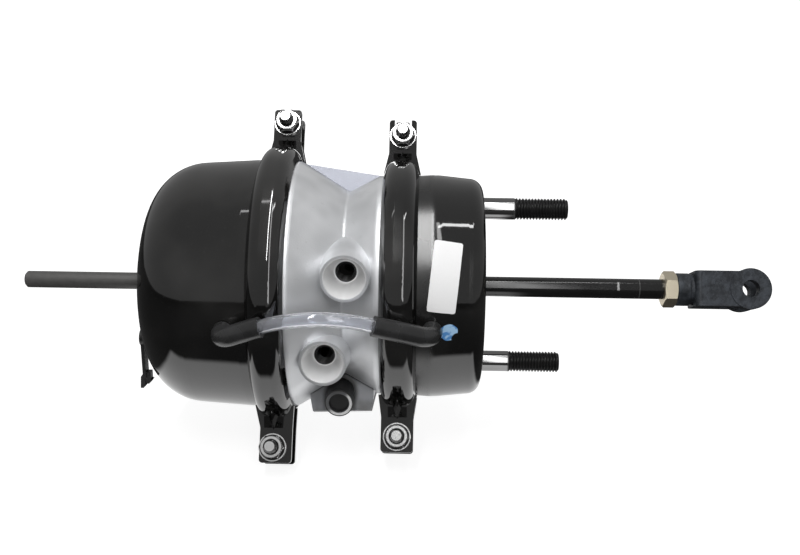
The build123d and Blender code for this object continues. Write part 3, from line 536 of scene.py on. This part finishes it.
# %% dark steel
dark_steel = Paint("dark_steel", Metallic=0.25, IOR=1.5)
fleck = dark_steel.noise(240.0, 4.0)
stretched = {"Vector": dark_steel.place(), "Scale": (20.0, 500.0, 500.0)}
drawn = dark_steel.node("Mapping", values=stretched)
line = dark_steel.noise(1.0, 2.0, where=drawn)
warm = (1.0, 0.98, 0.95)
dark_steel.feed(
    Base_Color=dark_steel.between(fleck, grey(0.075, warm), grey(0.12, warm)),
    Roughness=0.36 + line * 0.14,
    Normal=dark_steel.bump(line, 0.0001, 0.4),
)
dress(dark_steel, "release_bolt", "parking_piston", "power_spring")
dress(dark_steel, "parking_return_spring", "service_return_spring")

# %% forged steel
forged = Paint("forged_steel", Metallic=0.35)
scale_patch = forged.ease(forged.noise(150.0, 5.0, roughness=0.65), 0.38, 0.66)
hammer = forged.noise(380.0, 3.0)
forged.feed(
    Base_Color=forged.between(scale_patch, (0.02, 0.023, 0.028, 1.0), (0.05, 0.057, 0.068, 1.0)),
    Roughness=0.42 + scale_patch * 0.16,
    Normal=forged.bump(scale_patch * 0.5 + hammer, 0.0005, 0.5),
)
dress(forged, "yoke")

# %% [markdown]
# ## Nuts with outlines of painted shade
# On a small picture a nut is read by its dark outlines. They are painted shade: in the gap
# round the bolt, on the sides of the hexagon, on the bolt's thread and head, and where the nut
# stands on its washer. All of them lie at a fixed distance from the bolt's axis, so a ramp
# over that distance colours the whole stack. Each band is a radius and the colour that the
# ramp has there.

# %% clamp fasteners
# Where each clamp is split along X, and how far from the axis its bolts sit.
CLAMPS = {"parking": (-0.1496, 0.1238), "service": (-0.0603, 0.1145)}
SPLIT_TILT = math.radians(-29.6)
STACK_RADIUS = 0.012
GAP_SHADE = grey(0.03)
BRIGHT = grey(0.86)


def bolt_distance(paint, clamp):
    """Distance from the nearer of a clamp's two bolt axes."""
    split_x, reach = CLAMPS[clamp]
    axis = (0.0, math.cos(SPLIT_TILT), math.sin(SPLIT_TILT))
    found = []
    for side in (1, -1):
        centre = (split_x, -side * reach * math.sin(SPLIT_TILT), side * reach * math.cos(SPLIT_TILT))
        values = {0: paint.place(), 1: centre}
        off = paint.node("VectorMath", {"operation": "SUBTRACT"}, values)
        across = paint.node("VectorMath", {"operation": "CROSS_PRODUCT"}, {0: off, 1: axis})
        found.append(paint.node("VectorMath", {"operation": "LENGTH"}, {0: across}, out="Value"))
    return found[0].at_most(found[1])


def shade_outlined(kind, clamp, bands):
    """Zinc for one kind of fastener, with painted shade in rings round the bolts."""
    paint = plated(f"{clamp}_{kind}_zinc", (1.0, 1.0, 0.99), 0.86, 0.16)
    share = bolt_distance(paint, clamp) * (1 / STACK_RADIUS)
    stops = [(radius / STACK_RADIUS, colour) for radius, colour in bands]
    ramp = paint.node("ValToRGB", {"stops": stops}, {"Fac": share})
    paint.feed(Base_Color=ramp)
    return paint


# Bands of painted shade round each bolt: dark in the gaps, the zinc's own grey between.
NUT_SHADE_BANDS = [(0.0, GAP_SHADE), (0.0055, GAP_SHADE), (0.0059, BRIGHT)]
NUT_SHADE_BANDS += [(0.0072, BRIGHT), (0.0076, grey(0.2))]
WASHER_SHADE_BANDS = [(0.0, GAP_SHADE), (0.0090, GAP_SHADE), (0.0093, BRIGHT), (0.012, BRIGHT)]
BOLT_SHADE_BANDS = [(0.0, BRIGHT), (0.0033, BRIGHT), (0.0038, grey(0.1)), (0.012, grey(0.3))]
for clamp in CLAMPS:
    dress(shade_outlined("nut", clamp, NUT_SHADE_BANDS), f"{clamp}_clamp_nuts")
    dress(shade_outlined("washer", clamp, WASHER_SHADE_BANDS), f"{clamp}_clamp_washers")

# %% [markdown]
# ## Rod
# The push rod is painted black. A short pale tick marks its length, and further out a fine
# line runs round it. Both are masks by place in the rod's own material.

# %% rod paint
TICK_X = 0.1032
TICK_HALF = (0.0005, 0.0012)
TICK_RAGGED = 0.0012
TICK_BOTTOM_Z = (0.0005, 0.0015)
TICK_TOP_Z = (0.0058, 0.0066)
RING_X = 0.1186
RING_HALF = (0.0002, 0.0005)

rod_black = Paint("rod_black", IOR=1.6)
rod_x = rod_black.along("X")
tick_noise = rod_black.noise(500.0, 1.0) * TICK_RAGGED
tick = 1.0 - rod_black.ease((rod_x - TICK_X + tick_noise).size(), *TICK_HALF)
tick = tick * rod_black.ease(rod_black.along("Z"), *TICK_BOTTOM_Z)
tick = tick * (1.0 - rod_black.ease(rod_black.along("Z"), *TICK_TOP_Z))
ring_line = 1.0 - rod_black.ease((rod_x - RING_X).size(), *RING_HALF)
smudge = rod_black.noise(60.0, 3.0)
rod_colour = rod_black.between(smudge, grey(0.003), grey(0.009))
rod_colour = rod_black.between(tick * 0.8, rod_colour, grey(0.5))
rod_colour = rod_black.between(ring_line * 0.5, rod_colour, grey(0.12))
rod_black.feed(Base_Color=rod_colour, Roughness=0.1 + smudge * 0.1)
dress(rod_black, "pushrod")

# %% [markdown]
# ## Rubber and plastic
# Elbows, seals and plugs are moulded. Old rubber has a pale bloom on it in soft patches.

# %% rubber and plastic
def moulded(name, level, roughness, bump):
    """Dark rubber or plastic with a bloom."""
    paint = Paint(name)
    grain = paint.noise(800.0, 3.0)
    bloom = paint.ease(paint.noise(60.0, 3.0), 0.35, 0.75)
    fresh = grey(level, (1.0, 1.0, 1.02))
    paint.feed(
        Base_Color=paint.between(bloom, fresh, grey(level * 1.7, (1.0, 1.0, 1.03))),
        Roughness=roughness + bloom * 0.1,
        Normal=paint.bump(grain, bump, 0.5),
    )
    return paint


elbow_rubber = moulded("elbow_rubber", 0.02, 0.24, 0.00005)
seal_rubber = moulded("seal_rubber", 0.012, 0.55, 0.0002)
black_plastic = moulded("black_plastic", 0.009, 0.4, 0.0001)
dress(elbow_rubber, "vent_elbow_parking", "vent_elbow_service")
dress(seal_rubber, "parking_diaphragm", "service_diaphragm", "rod_seals")
dress(black_plastic, "keyhole_plug", "port_plug")

# %% [markdown]
# ## Clear hose
# The vent hose is soft clear tube with a bluish cast. It is real geometry with a wall, so a
# transmissive shader gives the bright and dark lines along it by itself.

# %% clear hose
clear = Paint("clear_hose", Transmission_Weight=0.92, IOR=1.45, Metallic=0.0)
haze = clear.noise(120.0, 2.0)
clear.feed(
    Base_Color=clear.between(haze, (0.84, 0.86, 0.93, 1.0), (0.96, 0.97, 1.0, 1.0)),
    Roughness=0.02 + haze * 0.05,
)
dress(clear, "vent_hose")

# %% [markdown]
# ## Meshes from rows of points
# Turned parts are easy to make as rings of points: each row has a place along the bar and a
# radius, and neighbouring rows are joined by four-sided faces. A screw thread is the same
# bar with rows close together and a radius that also depends on the angle.

# %% new pieces
SHARP_ANGLE = math.radians(38.0)


def add_piece(name, points, faces, paint, body="chamber"):
    """Make a piece from points and faces, smooth apart from its sharp edges."""
    mesh = bpy.data.meshes.new(name)
    mesh.from_pydata(points, [], faces)
    mesh.materials.append(paint.material)
    for face in mesh.polygons:
        face.use_smooth = True
    mesh.set_sharp_from_angle(angle=SHARP_ANGLE)
    made = bpy.data.objects.new(name, mesh)
    scene.collection.objects.link(made)
    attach(made, body)
    print(name, len(faces), "faces")
    return made


# %% faces between rings
RING_SIDES = 48


def ring_faces(rows, closed=False):
    """Faces between rings, with a cap at each end or joined head to tail."""
    faces = []
    for row in range(rows if closed else rows - 1):
        here = row * RING_SIDES
        there = (row + 1) % rows * RING_SIDES
        for side in range(RING_SIDES):
            after = (side + 1) % RING_SIDES
            faces.append((here + side, here + after, there + after, there + side))
    if not closed:
        faces.append(tuple(reversed(range(RING_SIDES))))
        faces.append(tuple(range((rows - 1) * RING_SIDES, rows * RING_SIDES)))
    return faces


# %% threads
CREST_SHARE = 0.14
FLANK_SHARE = 0.72
ROWS_PER_TURN = 10


def thread_cut(place, angle, pitch, depth):
    """How far a thread's surface lies under its crest."""
    turn_share = (place / pitch - angle / (2 * math.pi)) % 1.0
    slope = abs(2 * turn_share - 1)
    return depth * min(max((slope - CREST_SHARE) / FLANK_SHARE, 0.0), 1.0)


def screw_rows(low, high, start, radius, pitch, depth, chamfer):
    """Points of a bar along X from low to high that is threaded from start onwards."""
    step = pitch / ROWS_PER_TURN
    count = math.ceil((high - start) / step)
    places = [low] + [start + (high - start) * k / count for k in range(count + 1)]
    points = []
    for place in places:
        fade = min(max((place - start) / pitch, 0.0), 1.0)
        for side in range(RING_SIDES):
            angle = 2 * math.pi * side / RING_SIDES
            reach = radius - fade * thread_cut(place, angle, pitch, depth)
            reach = min(reach, radius - chamfer + (high - place))
            points.append((place, reach * math.cos(angle), reach * math.sin(angle)))
    return points, ring_faces(len(places))


# %% [markdown]
# ## Mounting studs
# Two five-eighths studs stand out of the mounting face. The shank is polished and plain near
# the face, and the thread starts after some 23 mm, with eleven turns to the inch. The thread
# is black and oiled. One material covers both: a mask along the stud changes it.

# %% studs
STUD_RADIUS = 0.00794
STUD_ROOT_X = -0.002
STUD_TIP_X = 0.062
STUD_CHAMFER = 0.0016
STUD_THREAD_X = 0.0228
STUD_OIL_X = (STUD_THREAD_X - 0.001, STUD_THREAD_X + 0.001)
STUD_PITCH = 0.0254 / 11
STUD_DEPTH = 0.0013
STUD_HEIGHT = 0.060325

stud_paint = Paint("stud_steel", IOR=1.6)
oil = stud_paint.noise(150.0, 3.0)
on_thread = stud_paint.ease(stud_paint.along("X"), *STUD_OIL_X)
thread_colour = stud_paint.between(oil, grey(0.008), grey(0.026))
stud_paint.feed(
    Base_Color=stud_paint.between(on_thread, grey(0.26), thread_colour),
    Metallic=1.0 - on_thread * 0.6,
    Roughness=0.08 + on_thread * 0.28,
)
for name, height in (("stud_upper", STUD_HEIGHT), ("stud_lower", -STUD_HEIGHT)):
    points, faces = screw_rows(
        STUD_ROOT_X,
        STUD_TIP_X,
        STUD_THREAD_X,
        STUD_RADIUS,
        STUD_PITCH,
        STUD_DEPTH,
        STUD_CHAMFER,
    )
    points = [(x, y, z + height) for x, y, z in points]
    stud = add_piece(name + "_threaded", points, faces, stud_paint)
    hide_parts(name)

# %% [markdown]
# ## Clamp bolts
# Each clamp has two bolts that stand across its split, and only the threaded tails and the
# hexagon heads show. A bolt is again a row of rings. A ring's radius may depend on the angle,
# so the same helper makes the hexagon, the round shank and the thread. A bolt is made along X
# at the origin, then carried to the tilted clamp by one matrix.

# %% bolt rings
BOLT_RADIUS = 0.00475
BOLT_PITCH = 0.0015
BOLT_DEPTH = 0.0009
BOLT_CHAMFER = 0.0009
HEAD_FLATS = 0.0155
HEAD_HEIGHT = 0.006
EAR_OUTER = 0.0124
EAR_GAP = 0.0003
SHANK_GAP = 0.0002
TAIL_LENGTH = 0.0168


def hexagon(flats, roundness):
    """Radius of a hexagon by angle, held inside a circle that trims its corners."""
    def radius(angle):
        off_flat = (angle + math.pi / 6) % (math.pi / 3) - math.pi / 6
        return min(flats / 2 / math.cos(off_flat), roundness)
    return radius


def ring_row(place, radius):
    """Points of one ring round X; its radius is a number or depends on the angle."""
    angles = [2 * math.pi * side / RING_SIDES for side in range(RING_SIDES)]
    reach = radius if callable(radius) else lambda angle: radius
    return [(place, reach(a) * math.cos(a), reach(a) * math.sin(a)) for a in angles]


def bolt_mesh():
    """Bolt along X: its head on the low side and its threaded tail on the high side."""
    back = -EAR_OUTER - EAR_GAP
    corner = HEAD_FLATS / math.sqrt(3)
    points = ring_row(back - HEAD_HEIGHT, BOLT_RADIUS * 0.9)
    points += ring_row(back - HEAD_HEIGHT, HEAD_FLATS / 2)
    points += ring_row(back - HEAD_HEIGHT + (corner - HEAD_FLATS / 2), hexagon(HEAD_FLATS, corner))
    points += ring_row(back, hexagon(HEAD_FLATS, corner))
    points += ring_row(back, BOLT_RADIUS)
    head_rows = len(points) // RING_SIDES
    high = EAR_OUTER + TAIL_LENGTH
    thread, _ = screw_rows(
        back + SHANK_GAP,
        high,
        EAR_OUTER,
        BOLT_RADIUS,
        BOLT_PITCH,
        BOLT_DEPTH,
        BOLT_CHAMFER,
    )
    rows = head_rows + len(thread) // RING_SIDES
    return points + thread, ring_faces(rows)


# %% clamp bolts
for clamp, (split_x, reach) in CLAMPS.items():
    points, faces = [], []
    for side in (1, -1):
        ring_points, ring_sides = bolt_mesh()
        to_clamp = (
            Matrix.Rotation(SPLIT_TILT, 4, "X")
            @ Matrix.Translation((split_x, 0.0, side * reach))
            @ Matrix.Rotation(-math.pi / 2, 4, "Z")
        )
        faces += [tuple(index + len(points) for index in face) for face in ring_sides]
        points += [tuple(to_clamp @ Vector(point)) for point in ring_points]
    bolt_paint = shade_outlined("bolt", clamp, BOLT_SHADE_BANDS)
    dress(bolt_paint, f"{clamp}_clamp_bolts")
    made = add_piece(f"{clamp}_bolts_threaded", points, faces, bolt_paint)
    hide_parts(f"{clamp}_clamp_bolts")

# %% [markdown]
# ## Port threads
# The two ports are tapped for pipe fittings. The thread is a thin sleeve with a ridge inside:
# rings run in along the ridge and come back along the bore, and the last joins the first. Its
# metal is painted near black, as painted shade deep in the bore.

# %% port threads
PORT_PITCH = 0.0254 / 18
PORT_DEPTH = 0.0011
PORT_THREAD_GAP = 0.00005
PORT_SLEEVE_GAP = 0.00002
STEPS_PER_TURN = 8

# Tapped aluminium painted near black: painted shade inside the port.
port_thread_shade_paint = plated("tapped_aluminium_in_shade", (1.0, 1.0, 1.01), 0.05, 0.3)
for name, (port_x, port_z) in zip(("service", "parking"), PORTS):
    low, high = PORT_THREAD_Y
    count = round((high - low) / PORT_PITCH * STEPS_PER_TURN)
    points = []
    for step in range(count + 1):
        y = low + (high - low) * step / count
        for side in range(RING_SIDES):
            angle = 2 * math.pi * side / RING_SIDES
            ridge = PORT_DEPTH - thread_cut(y, angle, PORT_PITCH, PORT_DEPTH)
            reach = PORT_BORE_RADIUS - PORT_THREAD_GAP - ridge
            points.append((port_x + reach * math.cos(angle), y, port_z + reach * math.sin(angle)))
    for y in (high, low):
        for side in range(RING_SIDES):
            angle = 2 * math.pi * side / RING_SIDES
            reach = PORT_BORE_RADIUS - PORT_SLEEVE_GAP
            points.append((port_x + reach * math.cos(angle), y, port_z + reach * math.sin(angle)))
    faces = ring_faces(count + 3, closed=True)
    add_piece(f"{name}_port_thread", points, faces, port_thread_shade_paint)

# %% [markdown]
# ## Bare label
# A white paper label is stuck to the small bowl. Paper follows the curve, so its points are
# laid out flat, then dropped onto the bowl by a ray towards the axis. It is left blank.

# %% label points
LABEL_X = -0.0284
LABEL_ANGLE = math.radians(21.9)
LABEL_WIDTH = 0.0196
LABEL_HEIGHT = 0.0500
LABEL_TILT = math.radians(5.7)
LABEL_CORNER = 0.0016
LABEL_LIFT = 0.00012
LABEL_ACROSS = 14
LABEL_DOWN = 30
BOWL_RADIUS = 0.0834
RAY_START = 0.2

bowl = BVHTree.FromObject(nodes["service_housing"], bpy.context.evaluated_depsgraph_get())


def on_bowl(x, angle, lift):
    """Point over the bowl's skin at a place along it and an angle up from the front."""
    outward = Vector((0.0, -math.cos(angle), math.sin(angle)))
    start = Vector((x, 0.0, 0.0)) + outward * RAY_START
    hit = bowl.ray_cast(start, -outward)[0]
    return hit + outward * lift


def label_points(lift, across, down):
    """Rows of a sheet with round corners, from its bottom to its top."""
    points = []
    for row in range(down + 1):
        v = -math.cos(math.pi * row / down) * LABEL_HEIGHT / 2
        over = max(abs(v) - (LABEL_HEIGHT / 2 - LABEL_CORNER), 0.0)
        inset = LABEL_CORNER - math.sqrt(max(LABEL_CORNER**2 - over**2, 0.0))
        half = LABEL_WIDTH / 2 - inset
        for column in range(across + 1):
            u = half * (2 * column / across - 1)
            x = LABEL_X + u * math.cos(LABEL_TILT) + v * math.sin(LABEL_TILT)
            arc = v * math.cos(LABEL_TILT) - u * math.sin(LABEL_TILT)
            points.append(tuple(on_bowl(x, LABEL_ANGLE + arc / BOWL_RADIUS, lift)))
    return points


# %% label faces
def sheet_faces(across, down):
    """Faces of a thin closed sheet whose top rows come first, then its bottom rows."""
    wide = across + 1
    total = wide * (down + 1)
    faces = []
    for row in range(down):
        for column in range(across):
            a = row * wide + column
            faces.append((a, a + 1, a + wide + 1, a + wide))
            faces.append((a + total, a + wide + total, a + wide + 1 + total, a + 1 + total))
    rim = list(range(wide))
    rim += [row * wide + across for row in range(1, down + 1)]
    rim += [down * wide + column for column in range(across - 1, -1, -1)]
    rim += [row * wide for row in range(down - 1, 0, -1)]
    for here, there in zip(rim, rim[1:] + rim[:1]):
        faces.append((here, here + total, there + total, there))
    return faces


# %% label paper
label_paint = Paint("label_paper", IOR=1.45)
fibre = label_paint.noise(1500.0, 2.0)
crease = label_paint.noise(40.0, 2.0)
label_paint.feed(
    Base_Color=label_paint.between(fibre, grey(0.88), grey(0.96)),
    Roughness=0.4 + fibre * 0.1,
    Normal=label_paint.bump(crease, 0.0006, 0.3),
)
label_skin = label_points(LABEL_LIFT, LABEL_ACROSS, LABEL_DOWN)
label_skin += label_points(LABEL_LIFT / 4, LABEL_ACROSS, LABEL_DOWN)
label_faces = sheet_faces(LABEL_ACROSS, LABEL_DOWN)
add_piece("label", label_skin, label_faces, label_paint)

visual_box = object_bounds()
lengths = [round((high - low) * 1000, 1) for low, high in zip(*visual_box)]
print("finished size", lengths, "mm")
